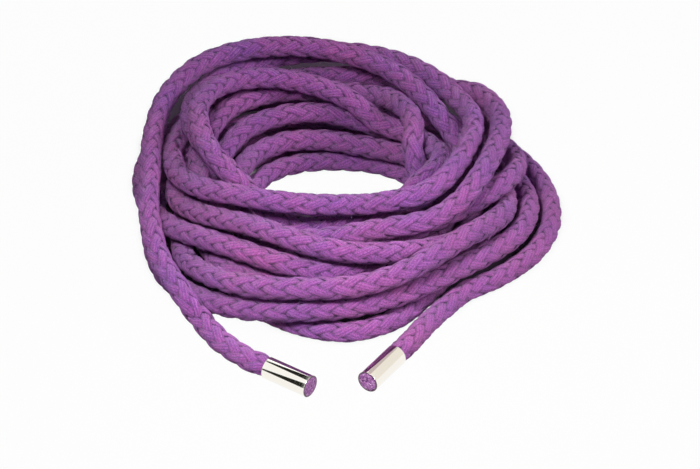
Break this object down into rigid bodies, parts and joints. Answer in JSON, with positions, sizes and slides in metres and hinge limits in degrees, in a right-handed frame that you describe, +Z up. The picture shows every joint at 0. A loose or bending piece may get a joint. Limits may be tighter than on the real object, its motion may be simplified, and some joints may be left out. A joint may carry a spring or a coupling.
{
  "type": "braided cotton rope",
  "caption": "Braided cotton rope with a filler core and a crimped metal ferrule on each end, laid by hand in a loose round coil.",
  "frame": {"origin": "on the floor, under the middle of the box round the whole rope", "axes": "+Z up from the floor, through the coil; +Y from the two ferrules in front to the back of the coil; +X to the right as seen from the ferrules"},
  "size_m": [0.149, 0.1665, 0.0391],
  "materials": {
    "braid": "matte dyed cotton, fuzzy",
    "filler": "matte dyed cotton, soft and loosely laid",
    "ferrule": "polished"
  },
  "bodies": {
    "root": {"cover_coil": "braid", "cover_tail_left": "braid", "cover_tail_right": "braid", "core_coil": "filler", "core_tail_left": "filler", "core_tail_right": "filler", "cover_end_left": "braid", "cover_end_right": "braid", "core_end_left": "filler", "core_end_right": "filler", "ferrule_left": "ferrule", "ferrule_right": "ferrule"}
  },
  "joints": []
}
